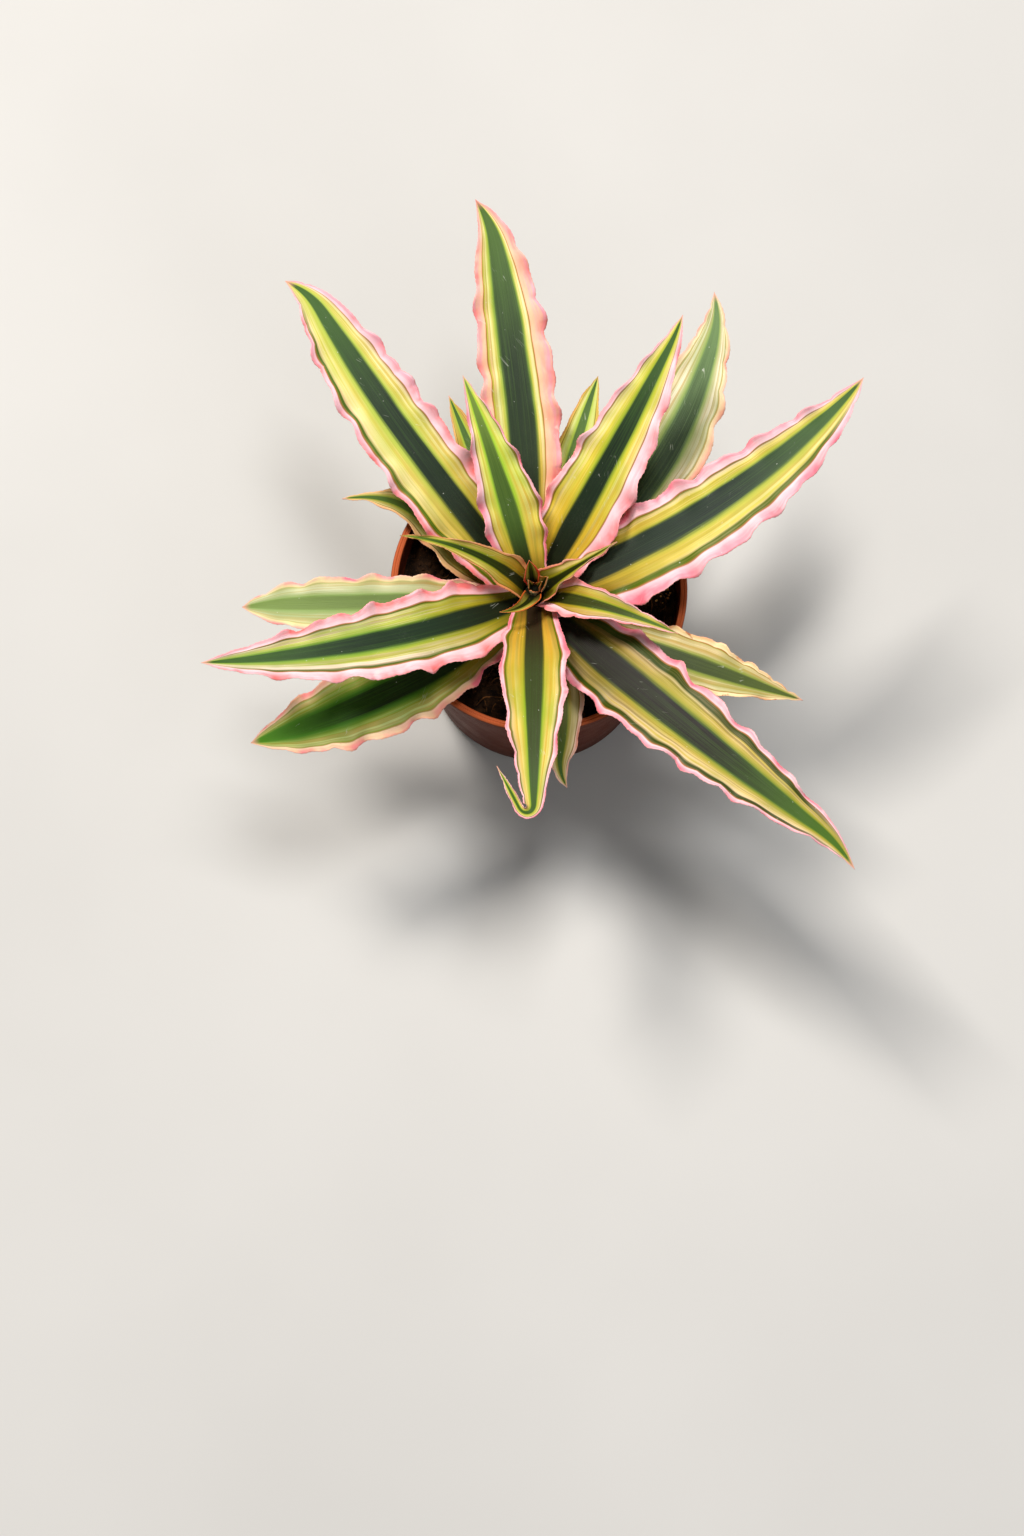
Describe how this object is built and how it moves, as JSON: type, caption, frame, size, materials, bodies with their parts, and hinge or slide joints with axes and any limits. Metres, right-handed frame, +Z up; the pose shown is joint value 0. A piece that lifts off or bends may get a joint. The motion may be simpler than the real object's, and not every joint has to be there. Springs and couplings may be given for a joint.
{
  "type": "earth star bromeliad in a pot",
  "caption": "Low rosette houseplant with wavy, striped, pink-edged leaves on a short stem, standing in soil in a round tapered plastic nursery pot.",
  "frame": {"origin": "centre of the pot's flat bottom", "axes": "+Z up, the pot's axis; +Y the way the long narrow leaf behind the rosette points, away from the viewer; +X to the viewer's right"},
  "size_m": [0.2598, 0.2757, 0.1595],
  "materials": {
    "pot": "satin",
    "soil": "matte",
    "stem": "matte",
    "leaf": "satin"
  },
  "bodies": {
    "root": {"pot": "pot", "soil": "soil", "stem": "stem", "leaf_heart_west": "leaf", "leaf_heart_south": "leaf", "leaf_heart_north": "leaf", "leaf_heart_northeast": "leaf", "leaf_inner_northwest": "leaf", "leaf_inner_east": "leaf", "leaf_inner_north": "leaf", "leaf_inner_south": "leaf", "leaf_northeast": "leaf", "leaf_west": "leaf", "leaf_east": "leaf", "leaf_northwest": "leaf", "leaf_southeast": "leaf", "leaf_north": "leaf", "leaf_outer_west": "leaf", "leaf_outer_northeast": "leaf", "leaf_outer_southwest": "leaf", "leaf_outer_east": "leaf", "leaf_low_northeast": "leaf", "leaf_low_west": "leaf", "leaf_low_south": "leaf", "leaf_low_northwest": "leaf"}
  },
  "joints": []
}
